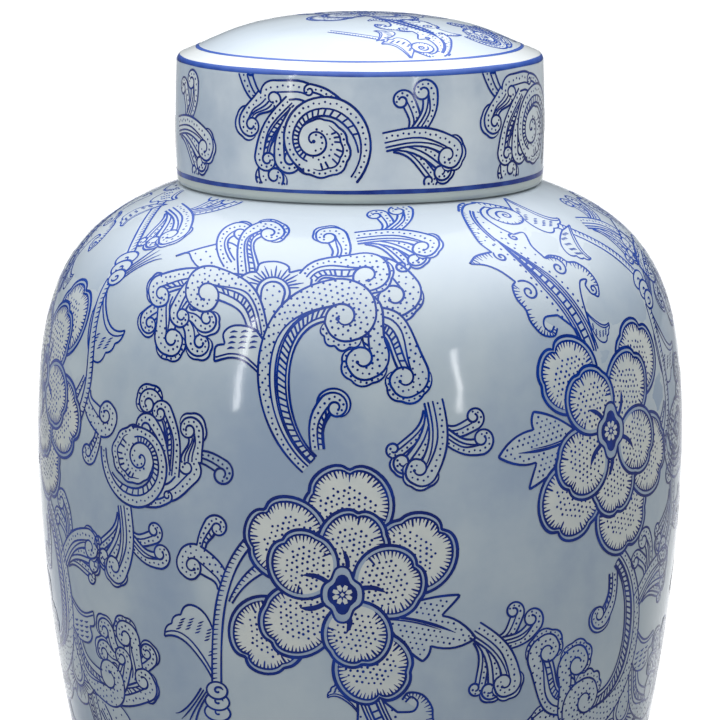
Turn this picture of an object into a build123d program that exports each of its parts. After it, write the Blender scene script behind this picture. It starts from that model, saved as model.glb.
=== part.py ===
from build123d import *

import os
from math import cos, radians, sin

# Lidded ginger jar of glazed stoneware: a full-shouldered jar body with a short neck, a cap lid
# that drops over the neck and rests on the shoulder, and four felt pads stuck under the foot ring.
# Millimetres, +Z up. The origin is on the jar's axis, on the surface that the jar stands on.

# Driving dimensions: the jar body
TOTAL_HEIGHT = 320.0
BELLY_RADIUS = 105.0
BELLY_HEIGHT = 182.0  # height of the widest point
SEAT_HEIGHT = 266.0  # flat ledge round the neck, where the lid rests
SEAT_RADIUS = 57.0  # outer radius of that ledge
SHOULDER_REACH = 40.0  # pull of the shoulder's curve, outward from the seat
SHOULDER_SLOPE = 0.32  # its fall there, per millimetre outward
SHOULDER_DROP = 50.0  # pull of the same curve, up from the widest point
TAPER_DROP = 50.0  # pull of the lower curve, down from the widest point
TAPER_RISE = 45.0  # pull of the lower curve, up from the foot
TAPER_SLOPE = 0.43  # its spread there, per millimetre upward
WALL = 6.0

# The foot ring and the floor
FOOT_RADIUS = 71.0
FOOT_STEP = 1.5  # how far the body stands out over the foot ring
FOOT_TOP = 9.0
FOOT_RING_WIDTH = 9.0
FOOT_RECESS = 5.0
FOOT_ROUND = 1.0
FLOOR_THICKNESS = 7.0
FLOOR_ROUND = 8.0  # inside, where the floor meets the wall

# The neck
NECK_RADIUS = 52.0
NECK_WALL = 5.0
NECK_HEIGHT = 28.0
NECK_LIP_ROUND = 2.0
NECK_ROOT_ROUND = 1.5  # outside, where the neck meets the ledge
THROAT_STEP = 0.5  # upright stretch between the inner wall and the throat
THROAT_ROUND = 2.0  # inside, where the neck opens into the shoulder

# The lid
LID_RADIUS = 59.7  # at the middle of the band, which is slightly barrelled
LID_BARREL = 0.5
LID_WALL = 5.2
LID_BAND_TOP = 307.3  # where the band's line would meet the sloping rim
LID_BAND_ROUND = 3.0
LID_FOOT_ROUND = 1.6
LID_BORE_ROUND = 0.8
DOME_RADIUS = 52.4  # where the sloping rim meets the dome
DOME_EDGE = 310.1
DOME_EDGE_SLOPE = 0.45  # the dome's rise there, per millimetre inward
DOME_SHOULDER = (40.0, 315.3)  # two points that the dome passes through
DOME_CROWN = (26.0, 318.4)
DOME_THICKNESS = 5.5
CEILING_CORNER = 302.5  # height where the ceiling meets the lid's bore
CEILING_SHOULDER = (27.0, 312.5)
CEILING_EDGE_SLOPE = 0.6  # the ceiling's fall at the bore, per millimetre outward
CEILING_ROUND = 3.0

# The felt pads
PAD_RADIUS = 3.6
PAD_THICKNESS = 1.5
PAD_BEVEL = 0.3
PAD_COUNT = 4
PAD_START_ANGLE = 45.0

FOOT_BASE = PAD_THICKNESS  # the foot ring's underside
FLOOR_TOP = FOOT_BASE + FOOT_RECESS + FLOOR_THICKNESS
FLOOR_RADIUS = FOOT_RADIUS - WALL
FOOT_RING_INNER = FOOT_RADIUS - FOOT_RING_WIDTH
MOUTH_RADIUS = NECK_RADIUS - NECK_WALL
NECK_TOP = SEAT_HEIGHT + NECK_HEIGHT
SAME_EDGE = 0.01  # how near an edge's radius and height must be to the ones asked for


def rings(part, radius, height):
    """The circular edges of part with this radius at this height."""
    return part.edges().filter_by(GeomType.CIRCLE).filter_by(
        lambda edge: abs(edge.radius - radius) < SAME_EDGE
        and abs(edge.arc_center.Z - height) < SAME_EDGE
    )


def inward(curve, share, distance):
    """The point at this share of curve's length, moved sideways by distance, to the curve's right."""
    point, along = curve @ share, curve % share
    return (point.X + distance * along.Y, point.Y - distance * along.X)


# Jar body: one slip-cast wall, turned round the axis from its section
with BuildPart() as jar_body:
    with BuildSketch(Plane.XZ):
        with BuildLine():
            # The outside runs down over the shoulder to the widest point, then in to the foot.
            shoulder = Bezier(
                (SEAT_RADIUS, SEAT_HEIGHT),
                (SEAT_RADIUS + SHOULDER_REACH, SEAT_HEIGHT - SHOULDER_SLOPE * SHOULDER_REACH),
                (BELLY_RADIUS, BELLY_HEIGHT + SHOULDER_DROP),
                (BELLY_RADIUS, BELLY_HEIGHT),
            )
            taper = Bezier(
                (BELLY_RADIUS, BELLY_HEIGHT),
                (BELLY_RADIUS, BELLY_HEIGHT - TAPER_DROP),
                (FOOT_RADIUS + FOOT_STEP + TAPER_SLOPE * TAPER_RISE, FOOT_TOP + TAPER_RISE),
                (FOOT_RADIUS + FOOT_STEP, FOOT_TOP),
            )
            Polyline(
                taper @ 1,
                (FOOT_RADIUS, FOOT_TOP - FOOT_STEP),
                (FOOT_RADIUS, FOOT_BASE),
                (FOOT_RING_INNER, FOOT_BASE),
                (FOOT_RING_INNER, FOOT_BASE + FOOT_RECESS),
                (0, FOOT_BASE + FOOT_RECESS),
                (0, FLOOR_TOP),
                (FLOOR_RADIUS, FLOOR_TOP),
            )
            inside = Spline(
                *[inward(shoulder, share, WALL) for share in (0.02, 0.3, 0.6, 0.85)],
                *[inward(taper, share, WALL) for share in (0.1, 0.4, 0.7, 0.9)],
                (FLOOR_RADIUS, FLOOR_TOP),
            )
            throat = (inside @ 0).Y + THROAT_STEP
            Polyline(
                inside @ 0,
                (MOUTH_RADIUS, throat),
                (MOUTH_RADIUS, NECK_TOP),
                (NECK_RADIUS, NECK_TOP),
                (NECK_RADIUS, SEAT_HEIGHT),
                (SEAT_RADIUS, SEAT_HEIGHT),
            )
        make_face()
    revolve(axis=Axis.Z)
    fillet(rings(jar_body, FLOOR_RADIUS, FLOOR_TOP), FLOOR_ROUND)
    fillet(rings(jar_body, MOUTH_RADIUS, throat), THROAT_ROUND)
    fillet(
        rings(jar_body, NECK_RADIUS, NECK_TOP) + rings(jar_body, MOUTH_RADIUS, NECK_TOP),
        NECK_LIP_ROUND,
    )
    fillet(rings(jar_body, NECK_RADIUS, SEAT_HEIGHT), NECK_ROOT_ROUND)
    fillet(
        rings(jar_body, FOOT_RADIUS, FOOT_BASE) + rings(jar_body, FOOT_RING_INNER, FOOT_BASE),
        FOOT_ROUND,
    )
jar_body.part.label = "jar_body"

# Lid: a cap with a barrelled band, a sloping rim and a low dome, open below
with BuildPart() as lid:
    edge_radius = LID_RADIUS - LID_BARREL
    bore = LID_RADIUS - LID_WALL
    with BuildSketch(Plane.XZ):
        with BuildLine():
            band_middle = (SEAT_HEIGHT + LID_BAND_TOP) / 2
            ThreePointArc(
                (edge_radius, SEAT_HEIGHT), (LID_RADIUS, band_middle), (edge_radius, LID_BAND_TOP)
            )
            Line((edge_radius, LID_BAND_TOP), (DOME_RADIUS, DOME_EDGE))
            Spline(
                (DOME_RADIUS, DOME_EDGE),
                DOME_SHOULDER,
                DOME_CROWN,
                (0, TOTAL_HEIGHT),
                tangents=[(-1, DOME_EDGE_SLOPE), (-1, 0)],
            )
            Line((0, TOTAL_HEIGHT), (0, TOTAL_HEIGHT - DOME_THICKNESS))
            Spline(
                (0, TOTAL_HEIGHT - DOME_THICKNESS),
                CEILING_SHOULDER,
                (bore, CEILING_CORNER),
                tangents=[(1, 0), (1, -CEILING_EDGE_SLOPE)],
            )
            Line((bore, CEILING_CORNER), (bore, SEAT_HEIGHT))
            Line((bore, SEAT_HEIGHT), (edge_radius, SEAT_HEIGHT))
        make_face()
    revolve(axis=Axis.Z)
    fillet(rings(lid, edge_radius, LID_BAND_TOP), LID_BAND_ROUND)
    fillet(rings(lid, bore, CEILING_CORNER), CEILING_ROUND)
    fillet(rings(lid, edge_radius, SEAT_HEIGHT), LID_FOOT_ROUND)
    fillet(rings(lid, bore, SEAT_HEIGHT), LID_BORE_ROUND)
lid.part.label = "lid"

# Felt pads: small discs spaced evenly round the middle of the foot ring
pads = []
pad_circle = FOOT_RADIUS - FOOT_RING_WIDTH / 2
for index in range(PAD_COUNT):
    angle = radians(PAD_START_ANGLE + index * 360 / PAD_COUNT)
    with BuildPart() as felt_pad:
        with BuildSketch():
            with Locations((pad_circle * cos(angle), pad_circle * sin(angle))):
                Circle(PAD_RADIUS)
        extrude(amount=PAD_THICKNESS)
        chamfer(felt_pad.edges().group_by(Axis.Z)[0], PAD_BEVEL)
    felt_pad.part.label = f"felt_pad_{index + 1}"
    pads.append(felt_pad.part)

os.makedirs("parts", exist_ok=True)
for piece in (jar_body.part, lid.part, *pads):
    export_step(piece, f"parts/{piece.label}.step")
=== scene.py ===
# %% [markdown]
# # A blue-and-white ginger jar
#
# The real thing is slip-cast stoneware: a full-shouldered jar and a cap lid, washed with thin blue,
# decorated with a cobalt transfer, and fired under a clear, glassy glaze. The clay shapes come
# finished from the CAD model, which this script loads as its frame and never changes. What is left
# for Blender is the skin: the washes, the glaze, the inked pattern, the painted rings, the felt, and
# the light that makes a glaze look wet.

# %% Load the frame
import math
import random

import bpy
import numpy as np
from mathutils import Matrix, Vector
from mathutils.geometry import delaunay_2d_cdt


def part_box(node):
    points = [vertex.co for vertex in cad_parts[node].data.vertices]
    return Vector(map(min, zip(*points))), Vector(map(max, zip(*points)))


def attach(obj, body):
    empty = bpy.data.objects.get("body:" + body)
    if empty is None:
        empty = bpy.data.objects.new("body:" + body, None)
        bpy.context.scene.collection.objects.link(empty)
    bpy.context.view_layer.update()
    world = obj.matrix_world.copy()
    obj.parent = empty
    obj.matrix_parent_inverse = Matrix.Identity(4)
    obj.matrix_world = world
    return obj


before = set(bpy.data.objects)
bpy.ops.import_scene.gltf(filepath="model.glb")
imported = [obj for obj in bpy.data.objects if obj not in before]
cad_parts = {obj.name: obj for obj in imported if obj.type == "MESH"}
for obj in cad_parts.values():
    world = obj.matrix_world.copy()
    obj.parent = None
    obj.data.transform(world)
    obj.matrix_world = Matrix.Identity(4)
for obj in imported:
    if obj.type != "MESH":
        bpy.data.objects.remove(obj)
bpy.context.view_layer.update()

MM = 0.001
JAR_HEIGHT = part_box("lid")[1][2]
JAR_RADIUS = (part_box("jar_body")[1][0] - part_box("jar_body")[0][0]) / 2
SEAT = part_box("lid")[0][2]  # height of the ledge that the lid rests on
print("jar:", round(JAR_HEIGHT / MM), "mm tall,", round(2 * JAR_RADIUS / MM), "mm across")

# %% [markdown]
# ## The camera
#
# Catalogue pictures of pots are taken with a long lens from well back, a little above the shoulder,
# so that the lid's rings stay flat ellipses. Here the lens stands fifteen jar-radii away and looks
# down nine degrees. It is aimed above the jar's middle, and the frame is tight: the lid and shoulder
# fill it, and the foot is below its edge.

# %% Camera
EYE_DISTANCE = 1.6
EYE_RISE = 0.2656  # how far the eye stands above the point it looks at
AIM_HEIGHT = 0.207
LENS = 248.7

eye = Vector((0, -EYE_DISTANCE, AIM_HEIGHT + EYE_RISE))
camera_data = bpy.data.cameras.new("camera")
camera_data.lens = LENS
camera_data.clip_start = 0.05
camera = bpy.data.objects.new("camera", camera_data)
camera.location = eye
camera.rotation_euler = (Vector((0, 0, AIM_HEIGHT)) - eye).to_track_quat("-Z", "Y").to_euler()
bpy.context.collection.objects.link(camera)
bpy.context.scene.camera = camera
print("camera looks down", round(math.degrees(math.atan2(EYE_RISE, EYE_DISTANCE)), 1), "degrees")

# %% [markdown]
# ## The pen
#
# The pattern on the real jar is a printed transfer: flat paper carries cobalt ink, it is laid on the
# jar and fired under the glaze. So the pattern is drawn flat first, in millimetres, and only later
# laid on the curved clay. A picture texture would be the usual short cut, but drawn lines stay sharp
# at any distance, and every curl can be written as a formula. A transfer here is three lists: inked
# lines, inked dots and tinted areas.

# %% The transfer and its pen
LINE = 0.74  # width of an ordinary pen line, mm
BOLD = 1.04
FINE = 0.52
DOT = 0.4  # radius of a stipple dot
DOT_GAP = 1.8  # distance between dots along a strip
ROW_GAP = 1.75  # and between the rows of a wide strip
STEP = 0.45  # distance between the points kept along a line
hand = random.Random(7)


def lengths(points):
    """How far along a line each of its points lies."""
    return np.r_[0, np.cumsum(np.hypot(*np.diff(points, axis=0).T))]


def at_marks(marks, along, points):
    """Where a line is at these marks, when its points lie this far along it."""
    return np.stack([np.interp(marks, along, column) for column in points.T], axis=-1)


def spaced(points, step=STEP):
    """The same line, with its points step apart."""
    points = np.asarray(points, float)
    along = lengths(points)
    count = max(3, int(along[-1] / step) + 1)
    return at_marks(np.linspace(0, along[-1], count), along, points)


def directions(points):
    """The way a line runs at each of its points, as steps of length one."""
    along = np.gradient(points, axis=0)
    return along / np.maximum(np.hypot(*along.T), 1e-9)[:, None]


def turning(degrees, size=1.0):
    """The matrix that turns and sizes flat points."""
    c, s = size * math.cos(math.radians(degrees)), size * math.sin(math.radians(degrees))
    return np.array([[c, s], [-s, c]])


def closed(outline):
    """An outline that ends where it starts."""
    return np.vstack([outline, outline[:1]])


def clear_runs(points, clear):
    """The stretches of a line that are clear, each as a line of its own."""
    if clear.all():
        return [points]
    breaks = np.flatnonzero(np.diff(clear.astype(int))) + 1
    parts = np.split(np.arange(len(points)), breaks)
    return [points[part] for part in parts if clear[part[0]] and len(part) > 2]


def inside(points, outline):
    """Which points lie inside a closed outline."""
    x, y = points[:, 0], points[:, 1]
    result = np.zeros(len(points), bool)
    near = (
        (x > outline[:, 0].min()) & (x < outline[:, 0].max())
        & (y > outline[:, 1].min()) & (y < outline[:, 1].max())
    )
    if not near.any():
        return result
    px, py = x[near][:, None], y[near][:, None]
    ax, ay = outline.T
    bx, by = np.roll(outline, -1, axis=0).T
    crosses = (ay > py) != (by > py)
    slope = np.where(by == ay, 1, by - ay)
    left = px < ax + (py - ay) * (bx - ax) / slope
    result[near] = (crosses & left).sum(axis=1) % 2 == 1
    return result


class Transfer:
    """Cobalt ink and tints on flat paper. What is drawn later covers what was drawn before."""

    def __init__(self):
        self.lines, self.dots, self.tints = [], [], []

    def line(self, points, width=LINE, ends=(1.0, 1.0)):
        """Ink along points; ends gives the share of the width that is left at each end."""
        points = spaced(points)
        t = np.linspace(0, 1, len(points))
        swell = np.minimum(1, np.minimum(ends[0] + t * 3, ends[1] + (1 - t) * 3))
        beat = 1 + 0.09 * np.sin(hand.uniform(0, 6) + t * len(points) * 0.12)
        self.lines.append(np.c_[points, width * swell * beat])

    def dot(self, point, radius=DOT):
        self.dots.append((point[0], point[1], radius * hand.uniform(0.8, 1.15)))

    def cover(self, outline):
        """Takes away the ink that a new shape lies on."""
        self.lines = [run for points in self.lines
                      for run in clear_runs(points, ~inside(points, outline))]
        if self.dots:
            clear = ~inside(np.array(self.dots)[:, :2], outline)
            self.dots = [dot for dot, free in zip(self.dots, clear) if free]

    def shape(self, outline, tint="paper", edge=LINE):
        """A closed shape: it covers what is under it, takes a tint, and gets an inked edge."""
        outline = spaced(closed(outline), 0.8)[:-1]
        self.cover(outline)
        self.tints.append((outline, tint))
        if edge:
            self.line(closed(outline), edge)

    def stamp(self, other, at=(0, 0), turn=0.0, size=1.0):
        """Lays another transfer on this one, moved, turned and sized."""
        matrix = turning(turn, size)
        pen = 0.5 + 0.5 * size
        for outline, tint in other.tints:
            outline = outline @ matrix + at
            self.cover(outline)
            self.tints.append((outline, tint))
        for points in other.lines:
            self.lines.append(np.c_[points[:, :2] @ matrix + at, points[:, 2] * pen])
        for x, y, radius in other.dots:
            x, y = np.array([x, y]) @ matrix + at
            self.dots.append((x, y, radius * pen))


# %% Curves to draw with
def bezier(start, pull_a, pull_b, end, steps=30):
    """A cubic curve from start to end, drawn towards two pulls."""
    t = np.linspace(0, 1, steps + 1)[:, None]
    a, b, c, d = (np.array(p, float) for p in (start, pull_a, pull_b, end))
    return (1 - t) ** 3 * a + 3 * (1 - t) ** 2 * t * b + 3 * (1 - t) * t * t * c + t ** 3 * d


def through(points, steps=8):
    """A smooth curve through a few points (Catmull-Rom)."""
    p = np.array(points, float)
    p = np.vstack([2 * p[0] - p[1], p, 2 * p[-1] - p[-2]])
    t = np.linspace(0, 1, steps, endpoint=False)[:, None]
    spans = [
        0.5 * (2 * b + (c - a) * t + (2 * a - 5 * b + 4 * c - d) * t * t
               + (3 * b - a - 3 * c + d) * t ** 3)
        for a, b, c, d in zip(p, p[1:], p[2:], p[3:])
    ]
    return np.vstack(spans + [p[-2:-1]])


def heading(degrees, length=1.0):
    """The step of this length in this direction."""
    return length * np.array([math.cos(math.radians(degrees)), math.sin(math.radians(degrees))])


def beside(points, distance):
    """The line that runs beside another, distance to its left."""
    points = np.asarray(points, float)
    along = directions(points)
    distance = np.broadcast_to(distance, len(points))[:, None]
    return points + distance * np.c_[-along[:, 1], along[:, 0]]


def beziers(start, *runs):
    """Cubic curves end to end; each run gives its two pulls and its end."""
    curves = []
    for pull_a, pull_b, end in runs:
        curves.append(bezier(start, pull_a, pull_b, end))
        start = end
    return np.vstack(curves)


def chain(*runs):
    """Smooth runs through a few points each, joined by corners."""
    return np.vstack([through(run) for run in runs])


def smooth(stations, values, course):
    """Rows of values along a course, on the smooth curve through those at the stations (Hermite)."""
    slopes = np.gradient(values, stations, axis=0)
    left = np.clip(np.searchsorted(stations, course, "right") - 1, 0, len(stations) - 2)
    gap = stations[left + 1] - stations[left]
    t = ((course - stations[left]) / gap)[:, None]
    gap = gap[:, None]
    return (
        (2 * t ** 3 - 3 * t ** 2 + 1) * values[left] + (t ** 3 - 2 * t ** 2 + t) * gap * slopes[left]
        + (3 * t ** 2 - 2 * t ** 3) * values[left + 1] + (t ** 3 - t ** 2) * gap * slopes[left + 1]
    )


def polar(stations, step=6.0):
    """A smooth curve round the origin through (angle, radius) stations."""
    stations = np.array(stations, float)
    course = np.arange(stations[0, 0], stations[-1, 0] + step / 2, step)
    radius = smooth(stations[:, 0], stations[:, 1:], course)
    angle = np.radians(course)
    return radius * np.c_[np.cos(angle), np.sin(angle)]


def between(inner, outer, share):
    """The line that lies this share of the way from inner to outer."""
    return inner * (1 - share) + outer * share


def beads(points, gap):
    """Points set gap apart along a line."""
    points = np.asarray(points, float)
    along = lengths(points)
    return at_marks(np.arange(gap / 2, along[-1], gap), along, points)


def dot_grid(rows, columns):
    """Staggered places for the dots that fill a broad shape."""
    for row in rows:
        for column in columns:
            yield np.array([column * 1.9 + (row % 2) * 0.95, row * 1.65])


# %% [markdown]
# ## The curled plume
#
# Nearly everything on the jar is one idea repeated: a plume that leaves a root, widens, and curls in
# on itself like a fern. Drawing each by hand would need hundreds of points. A plume is instead two
# curves, its outer and inner edge, and a spiral that shrinks by the same share each turn. Veins,
# ladders and rows of dots are then simply lines that run part of the way between the two edges.

# %% The plume
def stipple(pen, low, high, away_from=None):
    """Dots between two lines of equal length, in as many staggered rows as there is room for."""
    along = lengths((low + high) / 2)
    for k, mark in enumerate(np.arange(DOT_GAP / 2, along[-1], DOT_GAP)):
        a, b = at_marks(mark, along, low), at_marks(mark, along, high)
        room = np.hypot(*(b - a))
        rows = max(1, int((room - 0.5) / ROW_GAP))
        shift = (0.06 if rows == 1 else 0.24) * (1 if k % 2 else -1)
        for row in range(rows if room > 1.35 else 0):
            spot = between(a, b, (row + 0.5 + shift) / rows)
            if away_from is None or np.hypot(*(spot - away_from[0])) > away_from[1]:
                pen.dot(spot)


def rungs(pen, low, high, gap=1.9, width=FINE * 1.25):
    """Short strokes across, from one line to another of equal length."""
    length = np.hypot(*np.diff(high, axis=0).T).sum()
    count = max(2, int(length / gap))
    for k in range(1, count):
        i = int(k * (len(low) - 1) / count)
        pen.line([low[i], high[i]], width)


def plume(pen, root, leaves, head, radius, curls, width, entry, veins=(), ladder=None, frill=None,
          turns=1.5, coil=0.36, throat=262, bow=(0.42, 0.42, 0.42)):
    """A plume from root, leaving in the direction leaves, that curls round the point head.

    curls is 1 or -1, for the way it winds. The coil starts in the direction entry from its head and
    keeps the share coil of its radius each turn; the inner edge joins it at the angle throat.
    Inside, a place from 0 at the inner edge to 1 at the outer edge says where veins and ladder run.
    frill is (scallops, first, last, depth): a scalloped border from the angle first to last.
    """
    root, head = np.array(root, float), np.array(head, float)
    side = heading(leaves - 90 * curls, width / 2)
    shares = [*veins, *(ladder or ())]
    join = max(shares) if shares else 0.4

    def coiled(turned, proud=0.0):
        """The point on the spiral after this many degrees."""
        return head + heading(entry + curls * turned, radius * coil ** (max(turned, 0) / 360) + proud)

    def run(share):
        """The line that follows the plume at this share of its width, up to the coil."""
        if share >= join:
            end = between(coiled(360), coiled(0), (share - join) / (1 - join))
        else:
            end = coiled(throat + (360 - throat) * share / join)
        start = root + side * (2 * share - 1)
        reach = np.interp(share, (0, join, 1), bow) * np.hypot(*(end - start))
        own = bezier(start, start + heading(leaves, reach), end - heading(entry + 90 * curls, reach), end)
        if share in (0.0, 1.0):
            return own
        leaving = np.clip((np.linspace(0, 1, len(own)) - 0.5) / 0.5, 0, 1)[:, None]
        leaving = leaving * leaving * (3 - 2 * leaving)
        return between(between(inner, outer, share), own, leaving)

    outer = run(1.0)
    inner = run(0.0)
    turned = np.arange(0, 360 * turns, 8.0)
    lobed = 0.28 if radius > 5.5 else 0.0
    swirl = np.array([
        coiled(a, lobed * abs(math.sin(math.radians(a * 2.2))) * (a < throat)) for a in turned])
    if frill:
        scallops, first, last, depth = frill
        course = np.linspace(first, last, 48)
        rise = np.sin(np.linspace(0, math.pi, 48)) ** 0.45
        wave = 0.68 + 0.32 * np.abs(np.sin(np.linspace(0, math.pi * scallops, 48)))
        border = np.array([coiled(a, depth * r * w) for a, r, w in zip(course, rise, wave)])
        foot_of_border = np.array([coiled(a) for a in course])
        pen.shape(np.vstack([border, foot_of_border[::-1]]), "paper", 0)
        pen.line(border, LINE * 0.95, (0.4, 0.4))
        if depth > 1.7:
            stipple(pen, foot_of_border[4:-4], border[4:-4])
    pen.shape(np.vstack([outer, swirl[turned <= throat], inner[::-1]]), "paper", 0)
    pen.line(np.vstack([outer, swirl]), LINE, (1, 0.8))
    pen.line(inner)
    pen.dot(swirl[-1], 0.25 + 0.04 * radius)
    for share in veins:
        pen.line(run(share), FINE * 1.2, (1, 0.6))
    if ladder:
        low, high = run(ladder[0]), run(ladder[1])
        pen.line(low, FINE * 1.2)
        pen.line(high, FINE * 1.2)
        rungs(pen, low, high)
    if shares:
        stipple(pen, run(join), outer)
    else:
        stipple(pen, inner, outer, away_from=(head, radius * coil ** (throat / 360) + 0.4))
    whole = np.arange(0, 360 * (turns - 1) + 120, 8.0)
    stipple(pen, np.array([coiled(min(a + 360, 360 * turns)) for a in whole]),
            np.array([coiled(a) for a in whole]))


# %% [markdown]
# ## The peony
#
# The big flower is two rings of five petals round a dark medallion. Each petal is an ellipse whose
# outer edge dips inward once or twice, so it reads as lobed. The pen goes round it twice, with a
# blue band between, then strokes hang inward from the inner line, and dots thicken towards the root.

# %% Petals and the flower's eye
BLUE_BAND = 1.6  # width of the blue band inside a petal's edge


def petal_ring(centre, long, wide, turn, notches, steps=72):
    """An ellipse that points in the direction turn, dented at each (angle, depth) of notches."""
    a = np.linspace(-180, 180, steps, endpoint=False)
    reach = np.ones(steps)
    for angle, depth in notches:
        reach -= depth * np.exp(-np.abs((a - angle) / 10.0) ** 1.05)
    flat = np.c_[long * reach * np.cos(np.radians(a)), wide * reach * np.sin(np.radians(a))]
    return flat @ turning(turn) + centre, a


def petal(pen, centre, long, wide, turn, notches):
    """One petal: bold edge, blue band, inner line with hanging strokes, cream inside, stipple."""
    outline, a = petal_ring(centre, long, wide, turn, notches)
    pen.shape(outline, "wash", BOLD)
    inner, a = petal_ring(centre, long - BLUE_BAND, wide - BLUE_BAND, turn, notches)
    pen.tints.append((inner, "cream"))
    ridge = inner[np.abs(a) < 128]
    pen.line(ridge, LINE, (0.3, 0.3))
    for k, point in enumerate(beads(ridge, 1.3)):
        aim = (centre - point) / np.hypot(*(centre - point))
        length = hand.uniform(1.2, 1.9) if k % 2 else hand.uniform(2.0, 3.0)
        pen.line([point, point + aim * length * 0.5, point + aim * length], FINE * 1.55, (1, 0.2))
    for spot in dot_grid(range(-9, 10), range(-9, 10)):
        spot += (hand.uniform(-0.28, 0.28), hand.uniform(-0.28, 0.28))
        aside = (spot[0] + long * 0.16) / (long * 0.62), spot[1] / (wide * 0.66)
        if aside[0] ** 2 + aside[1] ** 2 < 1:
            pen.dot(centre + heading(turn, spot[0]) + heading(turn + 90, spot[1]), DOT * 1.12)
    start = centre * 0.38
    away = heading(turn)
    lean = heading(turn + 90) * (1 if turn % 2 else -1)
    fold = bezier(start, start + away * 3.0, start + away * 5.0 + lean * 0.6,
                  start + away * 7.5 + lean * 3.0)
    pen.line(fold, BOLD * 1.5, (0.9, 0.1))


def medallion(pen, centre, wide, high):
    """The dark four-lobed eye with a small daisy in it."""
    a = np.linspace(0, 2 * math.pi, 96, endpoint=False)
    lobes = 1 + 0.13 * np.cos(4 * a) - 0.03 * np.cos(8 * a)

    def ring(share):
        return np.c_[wide * share * lobes * np.cos(a), high * share * lobes * np.sin(a)] + centre

    pen.shape(ring(1.0), "wash", LINE * 1.1)
    pen.shape(ring(0.72), "ink", 0)
    leaf = 0.29 * wide
    for k in range(8):
        turn = 45 * k + 22
        blob, _ = petal_ring(np.array(centre) + heading(turn, leaf * 1.3), leaf * 0.72, leaf * 0.46,
                             turn, (), 18)
        pen.tints.append((blob, "cream"))
    button = np.c_[leaf * 0.42 * np.cos(a[::6]), leaf * 0.42 * np.sin(a[::6])] + centre
    pen.tints.append((button, "cream"))


# each petal: direction, distance out, half length, half width, and where its edge dips
OUTER_PETALS = ((86, 27.5, 13.4, 14.0, 2), (137, 24.0, 13.6, 13.4, -12), (212, 28.0, 12.6, 12.8, 14),
                (291, 26.5, 12.2, 12.6, -10), (28, 25.5, 13.6, 13.0, 14))
INNER_PETALS = ((77, 15.5, 11.6, 11.2, 5), (214, 17.0, 12.6, 11.8, 8), (145, 15.0, 11.2, 11.0, -16),
                (12, 15.0, 11.4, 11.8, 20), (288, 14.5, 11.0, 10.8, -8))


def peony(lean=0):
    """The whole flower, with its centre at the origin; lean turns its petals, but not its eye."""
    pen = Transfer()
    three_lobed_leaf(pen, heading(-31.6 + lean * 1.3, 15.3), -12 + lean * 1.3)
    for turn, away, long, wide, dent in OUTER_PETALS:
        turn += lean
        petal(pen, heading(turn, away), long, wide, turn, ((dent, 0.2), (dent + 72, 0.1)))
    for turn, away, long, wide, dent in INNER_PETALS:
        turn += lean
        petal(pen, heading(turn, away), long, wide, turn, ((dent, 0.14), (dent - 66, 0.06)))
    medallion(pen, (0, -0.8), 5.9, 8.2)
    return pen


# %% The flower's leaf
def three_lobed_leaf(pen, root, turn):
    """A broad pointed leaf with two side points and a vein, filled with dots."""
    leaf = Transfer()
    edge = beziers(
        (0, 0.8), ((5, 5), (12, 9.5), (22, 11)), ((20, 7), (18, 5), (17.5, 3.4)),
        ((22, 4), (27, 1), (30, -2)), ((26, -6), (21, -7.5), (16, -6.6)),
        ((16.5, -8.5), (16, -10.5), (14.5, -12)), ((8, -9.5), (3, -4), (0, -0.8)),
    )
    leaf.shape(edge, "paper", LINE * 1.1)
    vein = bezier((0, 0), (7, 1.5), (14, 1), (23, -1.2))
    for spot in dot_grid(range(-7, 7), range(-1, 16)):
        close = np.hypot(*(edge - spot).T).min() > 1.1 and np.hypot(*(vein - spot).T).min() > 1.2
        if close and inside(spot[None, :], edge)[0]:
            leaf.dot(spot)
    leaf.line(vein, BOLD, (1, 0.2))
    leaf.line(beside(vein, -0.85)[:-5], FINE, (1, 0.2))
    pen.stamp(leaf, at=root, turn=turn)


# %% [markdown]
# ## Sprigs and swirls
#
# The small fillers are only plumes in a bunch. A sprig is one leaning plume with smaller curls at its
# tip and two short plumes on its back. A swirl is a band that winds in on itself one and a half times,
# with curls breaking out of one side. Both are drawn once and then stamped wherever they are needed,
# turned to fill the gap.

# %% The sprig
def sprig():
    """A long plume that leans to the right, with a forked pair on it; its root is at the origin."""
    pen = Transfer()
    plume(pen, (11, 1.5), 66, (7.4, 11.0), 4.0, 1, 3.4, entry=24, veins=(0.4,), turns=1.35)
    plume(pen, (12.5, 1.5), 52, (14.4, 13.6), 4.8, 1, 4.4, entry=6, veins=(0.3, 0.56), turns=1.35)
    plume(pen, (5, -3.5), -8, (16.4, -14.4), 3.2, -1, 3.0, entry=40, veins=(0.4,), turns=1.2)
    plume(pen, (4, -2.6), -2, (20.4, -11.6), 4.2, -1, 3.4, entry=50, veins=(0.4,), turns=1.3,
          frill=(2, 0, 180, 1.3))
    plume(pen, (2, -1.8), 12, (22.8, -6.6), 6.0, -1, 5.8, entry=62, veins=(0.2, 0.46), turns=1.4,
          frill=(4, -20, 190, 1.6))
    return pen


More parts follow.
